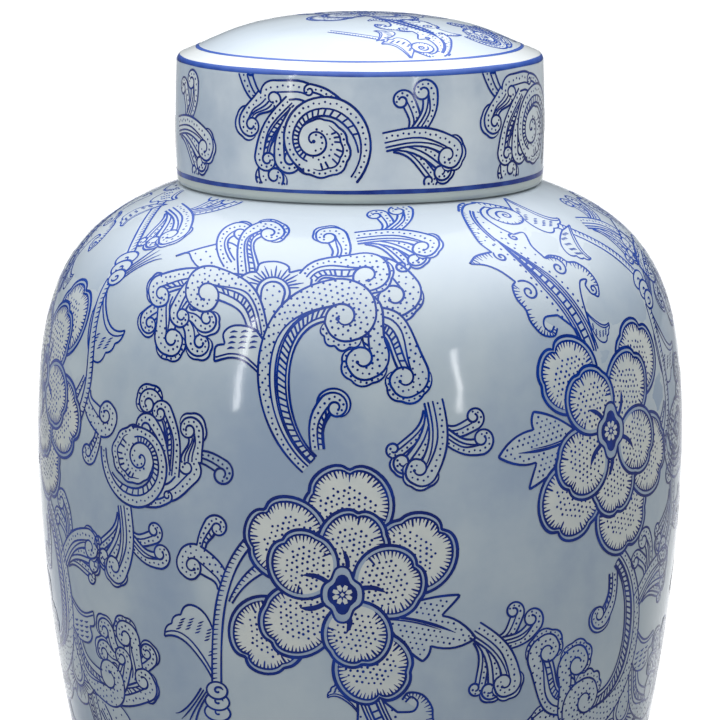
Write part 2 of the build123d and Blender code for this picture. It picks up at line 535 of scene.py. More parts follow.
# %% The swirl
def swirl():
    """A wound band with its eye at the origin, and curls that break out at its upper right."""
    pen = Transfer()
    plume(pen, (20, 2.5), 12, (30.6, -2.0), 4.6, -1, 3.6, entry=62, veins=(0.4,), turns=1.3)
    plume(pen, (10, -10), 10, (18.4, -0.8), 5.6, 1, 5.5, entry=-50, veins=(0.4,))
    plume(pen, (20, 1.0), 92, (19.0, 10.8), 5.0, 1, 7.5, entry=10, veins=(0.18, 0.36, 0.54),
          frill=(3, -70, 150, 1.7))
    plume(pen, (11, 1), 95, (2.8, 17.4), 5.2, 1, 6.0, entry=50, veins=(0.4,), frill=(3, -50, 190, 1.8))
    plume(pen, (12.5, -4), 84, (7.8, 15.0), 4.6, 1, 6.0, entry=30, veins=(0.55,), ladder=(0.12, 0.4))
    plume(pen, (10, -3), 100, (2.0, 9.6), 5.4, 1, 4.6, entry=45, ladder=(0.1, 0.5))
    plume(pen, (2, -13.8), 0, (11.0, -10.6), 2.2, 1, 2.6, entry=-60, turns=1.2)

    # the wound band: outer and inner edge, and a line between them
    outer = polar([(176, 18.2), (225, 17.2), (270, 15.6), (315, 12.8), (360, 10.7), (405, 9.8), (450, 9.7),
                   (495, 10.8), (540, 12.0), (585, 9.8), (630, 7.6), (675, 6.2), (722, 5.6)])
    middle = polar([(176, 15.8), (225, 14.1), (270, 11.8), (315, 9.3), (360, 7.5), (405, 6.9), (450, 6.8),
                    (495, 6.8), (540, 6.9)])
    inner = polar([(206, 14.0), (240, 11.2), (270, 9.4), (315, 7.0), (360, 5.5), (405, 5.1), (450, 4.9),
                   (495, 4.6), (540, 4.2), (585, 3.6), (630, 3.1), (675, 2.6), (720, 2.1), (765, 1.5),
                   (800, 1.0)])
    lump = outer[46:84] * (1 + 0.06 * np.abs(np.sin(np.linspace(0, math.pi * 7, 38))))[:, None]
    pen.shape(np.vstack([lump, outer[84:], inner[26:42]]), "paper", 0)
    pen.line(np.vstack([lump, outer[84:]]), LINE)
    pen.line(lump[6:30] * 0.8, FINE * 1.2, (0.4, 0.4))
    rungs(pen, lump[7:29] * 0.8, lump[7:29] * 0.62, 1.7)
    stipple(pen, lump[:34] * 0.82, lump[:34] * 0.97)
    stipple(pen, lump[4:] * 0.4, lump[4:] * 0.6)
    pen.shape(np.vstack([outer[:47], inner[:42][::-1]]), "paper", 0)
    pen.line(outer[:50], LINE * 1.1)
    pen.line(middle[:50], FINE * 1.25)
    pen.line(inner, FINE * 1.35)
    rungs(pen, inner[2:45], middle[7:50], 1.9)
    stipple(pen, middle[:48], outer[:48])
    stipple(pen, inner[46:84] * 0.4, inner[46:84])
    pen.dot((0, 0.3), 0.7)
    return pen


# %% [markdown]
# ## Stems, bells and the spray
#
# Stems are two edges beside one curve, with short ticks standing on one of them. A bell flower is a
# fan that opens from its stem, and a knot of three overlapping wraps ties the stems together. The
# great spray above each peony is sixteen plumes drawn back to front, so that each one hides the roots
# of those behind it, exactly as they were overlapped on the copper plate.

# %% Stems and bells
def stem(pen, curve, start_width, end_width):
    """A tapering stem along a curve, with short ticks on its left edge."""
    curve = spaced(curve, 0.8)
    half = np.linspace(start_width, end_width, len(curve)) / 2
    left, right = beside(curve, half), beside(curve, -half)
    pen.shape(np.vstack([left, right[::-1]]), "paper", 0)
    pen.line(left)
    pen.line(right)
    for k in range(2, len(curve) - 1, 2):
        tip = left[k] + (right[k] - left[k]) * 0.55 + (curve[k] - curve[k - 1]) * 0.5
        pen.line([left[k], (left[k] + tip) / 2, tip], FINE * 1.3, (1, 0.4))


def bell(pen, root, turn, size):
    """A bell flower that opens to the left of its root."""
    flower = Transfer()
    brim = beziers(
        (0, 0), ((-1, 8), (-3.5, 15.5), (-10, 16)), ((-12.5, 16), (-13.8, 14), (-14, 12.2)),
        ((-16.5, 12), (-18, 10.6), (-17.8, 8.6)), ((-20, 8.2), (-21, 6.5), (-21, 3.8)),
        ((-17, 5.5), (-13, 4), (-9.5, 0.5)), ((-5.5, -3.5), (-3, -7), (-1.5, -11)),
    )
    flower.shape(brim, "cream")
    lip = beziers((-20.8, 5.2), ((-15.5, 7.8), (-11, 4.8), (-8, 1.4)), ((-5, -2), (-3, -5), (-1.2, -9)))
    flower.line(lip, FINE * 1.2)
    for row, (x, y) in enumerate(((-15.2, 8.6), (-11.6, 9.0), (-8.0, 8.2), (-4.6, 6.0), (-3.4, 1.0))):
        for k in range(4):
            at = np.array([x, y]) + heading(62 + row * 4, (k - 1.5) * 1.25)
            flower.line([at, at + (1.0, 0.35), at + (2.0, 0.9)], FINE * 1.2, (0.5, 0.3))
    pen.stamp(flower, at=root, turn=turn, size=size)


def knot(pen, at, turn):
    """Three wraps that bind the stems."""
    wraps = Transfer()
    for height, wide in ((0, 4.6), (3.7, 4.3), (7.4, 3.7)):
        ring = np.array([(wide * math.cos(a), height + 2.9 * math.sin(a))
                         for a in np.linspace(0, 2 * math.pi, 40, endpoint=False)])
        wraps.shape(ring)
        curl = np.array([(0.4 + (1.9 - a * 0.25) * math.cos(a), height + (1.5 - a * 0.2) * math.sin(a))
                         for a in np.linspace(0.3, 5.2, 24)])
        wraps.line(curl, LINE, (0.5, 1))
    pen.stamp(wraps, at=at, turn=turn)


def bell_stem(foot=(4.2, -37), lean=0):
    """The bound stem that carries a bell, two curls and, at its top right, the peony."""
    pen = Transfer()
    x, y = foot
    for k in range(4):
        strand = bezier((-3 - k * 0.9, 6 + k * 0.5), (-6 - k, 2), (-8 - k * 1.6, -2),
                        (-8.5 - k * 2.4, -7 + k * 1.6))
        pen.line(np.array(foot) + strand, LINE if k in (0, 3) else FINE * 1.2, (1, 0.3))
    bell(pen, (x + 0.8, y + 19.5), 0, 0.95)
    plume(pen, (7.2, 4), 96, (-4.0, 10.4), 7.4, 1, 4.2, entry=62, veins=(0.3,), turns=1.7)
    plume(pen, (-0.5, 17.0), 80, (5.2, 23.4), 4.6, -1, 3.2, entry=150, ladder=(0.04, 0.42))
    stem(pen, bezier((9.5, 0), (13, 7), (17, 10.5), (25, 15)), 1.2, 4.4)
    stem(pen, beziers((x, y + 8), ((x, y + 20), (4.5, -4), (7.6, 5)), ((10, 13), (14, 19), (20, 24))),
         3.2, 3.0)
    knot(pen, foot, lean)
    return pen


# %% The scrolled leaf
def hatched(pen, edge, length, gap, side):
    """Short strokes that stand on an edge and point to one side of it."""
    edge = spaced(edge, 0.4)
    inward = beside(edge, side * 1.0) - edge
    for k, i in enumerate(range(2, len(edge) - 2, max(1, round(gap / 0.4)))):
        reach = inward[i] * length * (1.0 if k % 2 else 0.62)
        pen.line([edge[i], edge[i] + reach * 0.5, edge[i] + reach], FINE * 1.25, (1, 0.3))


def curl(pen, at, radius, entry, curls, turns=1.55):
    """A bare spiral line that starts on an edge."""
    pen.line([np.array(at) + heading(entry + curls * a, radius * 0.3 ** (a / 360))
              for a in np.arange(0, 360 * turns, 10.0)], LINE, (0.7, 1))


def scrolled_leaf():
    """A long leaf with a ladder for its rib, scalloped edges, and a hook from which a stem returns."""
    pen = Transfer()
    tendril = through([(-3, 31), (1, 35.2), (7, 35), (13, 30.4), (20, 23.8), (28, 15.6), (36, 8.4),
                       (43, 1.6), (49.5, -6)])
    stem(pen, tendril, 3.4, 2.8)
    bell(pen, (15.5, 30.5), 158, 0.8)
    bell(pen, (25, 15.6), 112, 0.62)

    def berry(angles):
        """The round swelling behind the leaf's hook."""
        return np.array([(9.4, 27.0) + heading(a, 5.2) * (1.15, 1) for a in angles])

    pen.shape(berry(range(0, 360, 12)))
    hatched(pen, berry(range(180, 361, 10)), 1.4, 1.5, 1)
    curl(pen, (9.6, 27.2), 3.6, 200, -1, 1.6)
    # the blade, from the root up its left side, over the tip and down its right side
    root = through([(9.5, -27), (6.6, -19.6), (1, -14.2)])
    left_scroll = through([(1, -14.2), (-4, -14.4), (-5.4, -17.2), (-3.4, -19.2), (-1.6, -17.6)])
    left_edge = through([(-0.6, -18.4), (-2.6, -20.6), (-7, -19.6), (-9.9, -15.4), (-10.2, -11.4),
                         (-11.9, -7.6), (-11.4, -3.6), (-9.4, -1.8)])
    thorn = chain([(-9.4, -1.8), (-12.4, 2.6), (-16, 5.2), (-20.6, 6)],
                  [(-20.6, 6), (-16.4, 9), (-10.2, 10.2)])
    crest = through([(-10.2, 10.2), (-11.2, 14.5), (-9.6, 20), (-7, 26), (-3.6, 31.6), (1, 35.6), (6, 36.6)])
    back = chain([(7, 33.6), (3.2, 31.4), (0.9, 27), (1.4, 21), (3.6, 17)],
                 [(3.6, 17), (8, 17.2), (6, 11), (7.2, 5.6)])
    right_edge = through([(7.2, 5.6), (10, 6.4), (13.6, 5.2), (15.4, 3.0), (19, 2.2), (22.4, -1.4),
                          (23.6, -6.2), (21.8, -10.2), (19.6, -9.4)])
    right_scroll = through([(18.4, -8.6), (17.6, -6), (19.4, -4.2), (16, -4.4), (13.8, -9), (13.2, -16),
                            (13.8, -27)])
    blade = np.vstack([root, left_scroll[:12], left_edge, thorn, crest, back, right_edge, right_scroll])
    pen.shape(blade, "cream", 0)
    for edge in (np.vstack([root, left_scroll]), left_edge, thorn, crest, back, right_edge, right_scroll):
        pen.line(edge)
    rib = beziers((11.6, -27), ((9, -14), (3.4, -6), (-1, 4)), ((-3, 8.5), (-4, 12), (-4.6, 16)))
    rib = spaced(rib, 0.8)
    taper = np.clip((len(rib) - 1 - np.arange(len(rib))) / 26, 0.06, 1)
    for reach, width in ((1.25, LINE), (2.3, FINE * 1.2), (3.3, FINE * 1.2)):
        for side in (-1, 1):
            pen.line(beside(rib, side * reach * taper), width, (1, 0.5))
    rungs(pen, beside(rib, 1.25 * taper)[3:-8], beside(rib, -1.25 * taper)[3:-8], 2.6, LINE)
    fold = bezier((-4.6, 15), (-5.2, 20), (-4.4, 26), (0.4, 31.4))
    pen.line(fold)
    pen.line(beside(fold, 0.9), FINE * 1.2)
    for side in (4.9, -4.9):
        for point in beads(beside(rib, side * np.maximum(taper, 0.5)), 2.5):
            if inside(point[None, :], blade)[0]:
                pen.dot(point, DOT * 1.1)
    for point in ((-7.4, 13), (-8.6, 15.4), (-6.8, 17), (-8, 19.2), (-6.4, 21.2), (-5.6, 24.4), (-2.6, 21),
                  (-1.8, 24.4), (0, 18.6), (0.6, 12.4), (-0.8, 15.4), (3, 10.6), (4.6, 7.4), (-1.4, 27.6),
                  (1.6, 30.6), (-3.8, 10)):
        pen.dot(point)
    for edge, length in ((left_edge, 2.2), (right_edge[:52], 2.4), (thorn[26:], 2.2), (crest[6:34], 1.4)):
        hatched(pen, edge, length, 1.3, -1)
    curl(pen, (-6.4, -5.6), 4.3, 118, -1)
    curl(pen, (10.0, 1.4), 4.6, 122, -1)
    curl(pen, (20.4, -7.6), 2.3, 200, 1, 1.2)
    curl(pen, (-8.2, 8.0), 2.4, 130, 1, 1.3)
    curl(pen, (2.6, 15.6), 2.0, 60, 1, 1.2)
    bell(pen, (13.6, -19), 190, 0.42)
    return pen


# %% The great spray
def palmette(pen, at, turn):
    """A scalloped fan with rays, standing on a double arch."""
    fan = Transfer()
    brim = chain([(-10.5, -3), (-11.6, 1.6), (-8.8, 4.4), (-6.2, 5)],
                 [(-6.2, 5), (-5.4, 8.4), (-0.6, 9.8), (3.6, 8.6), (4.4, 6)],
                 [(4.4, 6), (8.6, 7.4), (11.6, 4.6), (11, -2)])
    fan.shape(np.vstack([brim, [(0, -6)]]), "cream")
    for k in range(15):
        ray = heading(8 + k * 164 / 14) * (1.2, 1)
        fan.line([ray * 4.2, ray * 5.6, ray * (8.2 if k % 2 else 6.8)], FINE * 1.2, (1, 0.4))
    for part in (5.4, 3.8):
        arch = np.array([heading(a, part) - (0, 1.6) for a in range(180, -1, -12)])
        fan.shape(np.vstack([[(-part * 0.9, -12)], arch, [(part * 0.6, -11)]]))
    for point in ((0, 0.6), (-2, -1.0), (2, -1.0), (0, -2.6), (-2.2, -4.0), (1.8, -4.4), (-0.4, -5.8),
                  (-2, -7.4), (1.0, -7.8)):
        fan.dot(point)
    pen.stamp(fan, at=at, turn=turn)


def spray():
    """Plumes that burst from one arching stem; the root is at the lower right."""
    pen = Transfer()
    # the crown: two curls that rise behind the palmette, and a leaf that points left
    tip = chain([(-24, 31), (-31, 37.4), (-39, 35.4), (-52, 29.6)],
                [(-52, 29.6), (-47, 31.6), (-44.6, 28.6), (-40, 26), (-24, 25)])
    pen.shape(tip, edge=LINE * 0.9)
    for point in ((-44, 31.6), (-41.6, 29.4), (-40, 32.8), (-37.4, 28.6), (-36.4, 34.2), (-38.2, 31),
                  (-36, 26.8), (-31.4, 35), (-34, 35.2), (-29, 27), (-27.4, 29), (-31.6, 27.2),
                  (-26.4, 26.6), (-33.6, 29)):
        pen.dot(point)
    curl(pen, (-32.4, 32.2), 3.2, 300, -1)
    plume(pen, (-31, 29), 128, (-28.2, 42.6), 5.6, -1, 4.5, entry=118, veins=(0.3,), frill=(2, 10, 120, 1.4))
    plume(pen, (-24, 26), 98, (-18.4, 43.6), 6.6, -1, 7.2, entry=122, veins=(0.62,), ladder=(0.2, 0.46),
          frill=(3, -10, 210, 1.8))
    palmette(pen, (-15.6, 21.0), -4)
    plume(pen, (4.4, 33), 66, (0.6, 42.6), 6.0, 1, 5.0, entry=14, veins=(0.3, 0.5), frill=(3, 30, 210, 1.4))
    # the left burst
    plume(pen, (-52, 13), 210, (-59.6, 6.0), 4.6, 1, 4.6, entry=130, veins=(0.35,), frill=(2, 0, 190, 1.4))
    plume(pen, (-52, 16), 240, (-50.4, 2.0), 6.8, 1, 6.4, entry=168, veins=(0.3, 0.5),
          frill=(3, 30, 210, 2.0))
    plume(pen, (-36, 23), 178, (-55.8, 15.8), 6.4, 1, 6.4, entry=112, ladder=(0.12, 0.44),
          frill=(3, -30, 120, 1.2))
    plume(pen, (-45, 11), 262, (-39.8, 1.8), 5.4, 1, 5.0, entry=176, veins=(0.36,), frill=(3, 20, 220, 1.6))
    plume(pen, (-46, 12), 290, (-37.6, 9.4), 5.0, 1, 4.0, entry=214, veins=(0.4,), frill=(3, 10, 200, 1.6))
    plume(pen, (-40, 21), 205, (-47.0, 9.6), 5.0, 1, 6.6, entry=152, veins=(0.2, 0.5))
    plume(pen, (-20, 5.4), 100, (-38.4, 17.6), 10.0, 1, 6.4, entry=76, veins=(0.68,), ladder=(0.24, 0.5),
          bow=(0.5, 0.5, 0.5))
    # the right burst, behind the head of the stem
    plume(pen, (12, 31), -8, (22.0, 18.6), 8.8, -1, 7.4, entry=36, veins=(0.42,), frill=(4, 20, 230, 2.2))
    plume(pen, (-4.6, 25), 62, (13.2, 26.2), 9.2, -1, 6.6, entry=106, veins=(0.62,), ladder=(0.14, 0.42),
          frill=(3, 60, 230, 1.8))
    plume(pen, (14, 11), 4, (25.6, -7.2), 7.8, -1, 8.0, entry=28, veins=(0.66,), ladder=(0.14, 0.4),
          frill=(4, 10, 240, 2.3), bow=(0.5, 0.5, 0.5))
    plume(pen, (13, 16), -36, (12.6, -1.2), 8.4, -1, 7.4, entry=26, veins=(0.22,), ladder=(0.22, 0.46),
          frill=(4, 40, 250, 2.4))
    # the bract on the stem's back, and the small bud at its root
    flag = chain([(-17.5, 3), (-21.6, 7.4), (-28, 8), (-31.6, 5.4), (-31, 2)],
                 [(-31, 2), (-34.2, 1), (-34.6, -3.6)],
                 [(-34.6, -3.6), (-29, -2), (-24, -3), (-18, -7.6)])
    pen.shape(flag, "cream")
    pen.line(through([(-34, -2.2), (-29, -0.8), (-24, -1.6), (-19.6, -5)]), FINE * 1.2)
    for k in range(4):
        for row in range(3):
            x, y = -30.2 + row * 3.6 + k * 0.3, 0.6 + k * 1.7 + row * 0.3
            pen.line([(x, y), (x + 1.2, y + 0.5), (x + 2.4, y + 0.4)], LINE, (0.4, 0.4))
    plume(pen, (-1.0, -29), 98, (4.4, -16.0), 5.2, -1, 4.2, entry=140, ladder=(0.08, 0.42),
          frill=(1, -60, 210, 1.3))
    # the stem itself
    plume(pen, (-3.6, -33.6), 140, (6.6, 11.9), 13.2, -1, 6.6, entry=100, veins=(0.62, 0.45),
          ladder=(0.1, 0.38), frill=(4, 150, 262, 3.4), turns=1.75, coil=0.33, throat=266,
          bow=(0.36, 0.5, 0.465))
    return pen


# %% [markdown]
# ## From paper to clay
#
# A transfer printer slides the wet sheet over the pot. The same step here takes a flat point, goes
# that many millimetres along the jar's outline and that many round it, and lands on the glaze. The
# outline itself is read back from the CAD mesh, so the pattern can't drift away from the clay: every
# corner of that mesh lies exactly on the turned surface, and a smooth curve through them is the
# outline. Ink stands 0.06 mm proud and tints 0.035 mm, thick enough to keep clear of the mesh's flats
# and far too thin to see.

# %% Read the turned outlines
class Outline:
    """The outside of a turned piece, as radius and height along the line that turns."""

    def __init__(self, node, accept, upward):
        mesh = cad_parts[node].data
        corners = np.array([corner.co for corner in mesh.vertices])
        rims = set()
        for face in mesh.polygons:
            flat = math.hypot(face.center.x, face.center.y) or 1.0
            out = (face.normal.x * face.center.x + face.normal.y * face.center.y) / flat
            for index in face.vertices:
                x, y, z = corners[index]
                if accept(math.hypot(x, y), z, out, face.normal.z):
                    rims.add((round(math.hypot(x, y) / MM, 3), round(z / MM, 3)))
        rims = sorted(rims, key=lambda rim: (rim[1], -rim[0]), reverse=not upward)
        kept = [rims[0]]
        for rim in rims[1:]:
            if math.hypot(rim[0] - kept[-1][0], rim[1] - kept[-1][1]) > 0.4:
                kept.append(rim)
        points = np.array(kept)
        along = lengths(points)
        self.length = along[-1]
        self.marks = np.arange(0, self.length, 0.25)
        self.line = smooth(along, points, self.marks)
        run = directions(self.line)
        self.facing = np.c_[run[:, 1], -run[:, 0]] * (1 if upward else -1)
        self.upward = upward
        print(node, "outline:", len(points), "rims,", round(self.length), "mm long")

    def mark_at(self, height):
        """How far along the outline this height (mm) is."""
        return self.marks[np.abs(self.line[:, 1] - height).argmin()]

    def at(self, mark):
        """Radius, height and facing at each mark."""
        return [np.interp(mark, self.marks, column) for column in (*self.line.T, *self.facing.T)]


BELOW_SURFACE = 0.0028  # midway through the dome's thickness, under its top
DOME_UNDERSIDE = 3.04  # how fast a bowl at that depth falls away, per metre


def on_jar_wall(r, z, out, up):
    """True on the jar's outside, from above the foot ring to where the lid rests."""
    return out > 0.2 and r > 0.056 and 0.009 < z <= SEAT + 1e-5


def on_lid_top(r, z, out, up):
    """True on the lid's outside, and not on the hollow under its dome."""
    above_hollow = r > 0.055 or z > JAR_HEIGHT - BELOW_SURFACE - DOME_UNDERSIDE * r * r
    return out + up > 0.5 and z > SEAT + 0.0018 and above_hollow


body_outline = Outline("jar_body", on_jar_wall, upward=False)
lid_outline = Outline("lid", on_lid_top, upward=True)


# %% Lay flat points on the clay
FOOT_CLEAR = 16  # how much of the wall above the foot stays free of pattern, mm
DOME_PATTERN = 50.8  # radius that the dome's pattern is trimmed to, mm


def wrapped(outline, angle, height, lift=0, ceiling=None):
    """Lays a sheet round the piece, with its middle at this angle from the front and this height.

    lift moves it along the outline, and nothing is laid above the ceiling. Both are in millimetres.
    """
    sign = 1 if outline.upward else -1
    middle = outline.mark_at(height) + sign * lift

    def lay(flat, proud):
        mark = middle + sign * flat[:, 1]
        radius, level, out, up = outline.at(mark)
        turn = math.radians(angle) + flat[:, 0] / np.maximum(radius, 1)
        side = np.c_[np.sin(turn), -np.cos(turn)]
        place = np.c_[side * (radius + out * proud)[:, None], level + up * proud]
        facing = np.c_[side * out[:, None], up]
        return place * MM, facing

    last = outline.length - FOOT_CLEAR if ceiling is None else outline.mark_at(ceiling)

    def on_clay(flat):
        mark = middle + sign * flat[:, 1]
        return (mark > 2.5) & (mark < last)

    return lay, on_clay


def capped(outline):
    """Lays a sheet on the dome, seen from above."""
    dome = outline.line[:, 0] < 53.4
    radii, levels = outline.line[dome][::-1].T
    outs, ups = outline.facing[dome][::-1].T

    def lay(flat, proud):
        away = np.maximum(np.hypot(*flat.T), 1e-6)
        side = flat / away[:, None]
        out, up = np.interp(away, radii, outs), np.interp(away, radii, ups)
        level = np.interp(away, radii, levels)
        place = np.c_[flat + side * (out * proud)[:, None], level + up * proud]
        return place * MM, np.c_[side * out[:, None], up]

    def on_clay(flat):
        return np.hypot(*flat.T) < DOME_PATTERN

    return lay, on_clay


# %% Turn ink into mesh
INK_PROUD = 0.06  # how far ink stands off the clay, mm
TINT_PROUD = 0.035
TINTS = ("paper", "cream", "wash")
ROUND = np.array([(math.cos(a), math.sin(a)) for a in np.linspace(0, 2 * math.pi, 7, endpoint=False)])


class Skin:
    """Corners, facings and faces of ink or tint sheets, gathered until they are made a mesh."""

    def __init__(self):
        self.places, self.facings, self.faces, self.kinds, self.count = [], [], [], [], 0

    def add(self, flat, faces, lay, proud, kind=0):
        place, facing = lay(np.asarray(flat, float), proud)
        self.places.append(place)
        self.facings.append(facing)
        self.faces += [[index + self.count for index in face] for face in faces]
        self.kinds += [kind] * len(faces)
        self.count += len(place)

    def make(self, name, materials, body, slot):
        mesh = bpy.data.meshes.new(name)
        mesh.from_pydata(np.vstack(self.places).tolist(), [], self.faces)
        for material in materials:
            mesh.materials.append(material)
        mesh.polygons.foreach_set("material_index", self.kinds)
        mesh.polygons.foreach_set("use_smooth", [True] * len(self.faces))
        mesh.normals_split_custom_set_from_vertices(np.vstack(self.facings).tolist())
        piece = bpy.data.objects.new(name, mesh)
        bpy.context.collection.objects.link(piece)
        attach(piece, body)
        print(name, len(self.faces), "faces")


def thinned(points):
    """Drops points where the line is nearly straight."""
    kept, run, bend = [0], 0.0, 0.0
    step = np.diff(points[:, :2], axis=0)
    length = np.hypot(*step.T)
    way = np.unwrap(np.arctan2(step[:, 1], step[:, 0]))
    for i in range(1, len(points) - 1):
        run += length[i - 1]
        bend += abs(way[i] - way[i - 1])
        if bend > 0.12 or run > 2.2:
            kept.append(i)
            run, bend = 0.0, 0.0
    return points[kept + [len(points) - 1]]


def ink_line(skin, points, lay):
    """A ribbon as wide as the pen, with pointed ends."""
    points = thinned(points)
    flat, half = points[:, :2], points[:, 2:] / 2
    along = directions(flat)
    side = np.c_[-along[:, 1], along[:, 0]]
    n = len(flat)
    first = flat[0] - along[0] * half[0] * 0.8
    last = flat[-1] + along[-1] * half[-1] * 0.8
    corners = np.vstack([flat + side * half, flat - side * half, [first, last]])
    faces = [(i, i + n, i + n + 1, i + 1) for i in range(n - 1)]
    faces += [(0, 2 * n, n), (n - 1, 2 * n - 1, 2 * n + 1)]
    skin.add(corners, faces, lay, INK_PROUD)


def apply_transfer(transfer, lay, on_clay, ink, tint):
    """Puts one transfer on the clay, as ink and as tint."""
    for points in transfer.lines:
        for run in clear_runs(points, on_clay(points[:, :2])):
            ink_line(ink, run, lay)
    for x, y, radius in transfer.dots:
        centre = np.array([[x, y]])
        if on_clay(centre)[0]:
            ink.add(centre + ROUND * radius, [tuple(range(len(ROUND)))], lay, INK_PROUD)
    for flat, face, kind in tint_faces(transfer, on_clay):
        if kind == "ink":
            ink.add(flat, face, lay, INK_PROUD - 0.005)
        else:
            tint.add(flat, face, lay, TINT_PROUD, TINTS.index(kind))


def tint_faces(transfer, on_clay, grain=3.0):
    """Cuts the tinted areas into small triangles, each with the tint of the topmost shape there."""
    corners, faces = [], []
    for outline, _ in transfer.tints:
        ring = spaced(closed(outline), 1.1)[:-1]
        faces.append(list(range(len(corners), len(corners) + len(ring))))
        corners += ring.tolist()
    everything = np.array(corners)
    low, high = everything.min(axis=0), everything.max(axis=0)
    grid = np.array([(x + (row % 2) * grain / 2, y)
                     for row, y in enumerate(np.arange(low[1], high[1], grain * 0.87))
                     for x in np.arange(low[0], high[0], grain)])
    covered = np.zeros(len(grid), bool)
    for outline, _ in transfer.tints:
        covered |= inside(grid, outline)
    corners += grid[covered].tolist()
    places, _, cut, _, _, origins = delaunay_2d_cdt([Vector(c) for c in corners], [], faces, 1, 1e-4)
    flat = np.array([tuple(place) for place in places])
    clear = on_clay(flat)
    sorted_faces = {}
    for face, origin in zip(cut, origins):
        if origin and clear[list(face)].all():
            sorted_faces.setdefault(transfer.tints[max(origin)][1], []).append(tuple(face))
    for kind, chosen in sorted_faces.items():
        used = sorted({index for face in chosen for index in face})
        renumbered = {index: k for k, index in enumerate(used)}
        yield flat[used], [tuple(renumbered[i] for i in face) for face in chosen], kind


# %% [markdown]
# ## The glazes
#
# Fired glaze has two layers that matter to the eye: the coloured wash under it, which clouds and
# pools like watercolour, and a clear glassy surface, which only mirrors the room. Blender's Principled
# shader keeps them apart: Base Color is the wash, and the specular layer is the glass. An IOR of 1.34,
# below that of window glass, keeps the mirror image soft, as on this milky glaze. The wash is noise in
# several sizes, with object coordinates, so that it wraps the pot without seams. All glazes share one
# faint ripple in the surface, or the mirror image would break where ink meets ground.

# %% Helpers for node materials
def finish(name):
    """An empty material with its Principled shader; returns both, and a way to add nodes."""
    material = bpy.data.materials.new(name)
    material.use_nodes = True
    nodes, links = material.node_tree.nodes, material.node_tree.links
    shader = nodes["Principled BSDF"]

    def node(kind, settings=None, **inputs):
        made = nodes.new("ShaderNode" + kind)
        for key, value in (settings or {}).items():
            setattr(made, key, value)
        for key, value in inputs.items():
            socket = made.inputs[int(key[1:])] if key[0] == "_" else made.inputs[key.replace("_", " ")]
            if isinstance(value, bpy.types.NodeSocket):
                links.new(value, socket)
            else:
                socket.default_value = value
        return made.outputs[0] if kind not in ("TexCoord", "Separate") else made

    return material, shader, node, links


def linear(red, green, blue):
    """An sRGB colour, given from 0 to 255, as the shader wants it."""
    def channel(value):
        value /= 255
        return value / 12.92 if value <= 0.04045 else ((value + 0.055) / 1.055) ** 2.4
    return (channel(red), channel(green), channel(blue), 1.0)


def mixed(node, share, first, second):
    """One colour laid over another."""
    made = node("Mix", {"data_type": "RGBA"}, _0=share, _6=first, _7=second)
    return made.node.outputs[2]


def ranged(node, value, low, high, to_low=0.0, to_high=1.0):
    """A value eased from one range to another."""
    return node("MapRange", {"interpolation_type": "SMOOTHSTEP"},
                _0=value, _1=low, _2=high, _3=to_low, _4=to_high)


GLOSS = 0.09  # middle roughness of the fired surface
GLASS_IOR = 1.34


def glassy(shader, node, links, place):
    """The glassy surface: its faint ripple, and a roughness that is never quite even."""
    ripple = node("TexNoise", None, Vector=place, Scale=38.0, Detail=2.0)
    dimples = node("TexNoise", None, Vector=place, Scale=420.0, Detail=1.0)
    level = node("Math", {"operation": "MULTIPLY_ADD"}, _0=dimples, _1=0.02, _2=ripple)
    bump = node("Bump", None, Strength=0.22, Distance=0.0012, Height=level)
    links.new(bump, shader.inputs["Normal"])
    haze = node("TexNoise", None, Vector=place, Scale=22.0, Detail=3.0)
    links.new(ranged(node, haze, 0.3, 0.7, GLOSS * 0.8, GLOSS * 1.5), shader.inputs["Roughness"])
    shader.inputs["IOR"].default_value = GLASS_IOR


def thin_and_toplit(node, colour, thin_and_toplit_colour, most=0.85):
    """Colours grow paler where the surface faces up: partly glaze that runs thin off the shoulder in the
    kiln, partly painted light from above.
    """
    up = node("SeparateXYZ", None, _0=node("NewGeometry").node.outputs["Normal"]).node.outputs[2]
    # painted light: up-facing surfaces are mixed towards the paler colour, for the light from above as well
    # as for the thinner glaze
    return mixed(node, ranged(node, up, 0.08, 0.95, 0.0, most), colour, thin_and_toplit_colour)


def watercolour(node, place, pale, deep):
    """A wash that clouds from pale to deep, with brushed streaks in it."""
    clouds = node("TexNoise", None, Vector=place, Scale=11.0, Detail=4.0, Roughness=0.55)
    slanted = node("Mapping", None, Vector=place, Rotation=(0.0, 0.6, 0.5), Scale=(1.8, 1.8, 0.7))
    streaks = node("TexNoise", None, Vector=slanted, Scale=12.0, Detail=3.0, Distortion=0.6)
    grain = node("TexNoise", None, Vector=place, Scale=260.0, Detail=2.0)
    share = node("Math", {"operation": "MULTIPLY_ADD"}, _0=streaks, _1=0.6, _2=clouds)
    share = node("Math", {"operation": "MULTIPLY_ADD"}, _0=grain, _1=0.10, _2=share)
    colour = mixed(node, ranged(node, share, 0.62, 1.10), pale, deep)
    return thin_and_toplit(node, colour, THIN_AND_TOPLIT_GLAZE)


# %% The jar's ground
PALE_WASH = linear(169, 180, 186)
DEEP_WASH = linear(136, 152, 171)
# the paler wash on up-facing glaze: partly thinner glaze, partly painted light from above
THIN_AND_TOPLIT_GLAZE = linear(189, 198, 206)
WHITE = linear(210, 214, 215)
BARE_CLAY = linear(196, 182, 160)
FOOT_LINE = (0.0026, 0.0034)  # heights between which the foot ring's bare clay ends and glaze begins


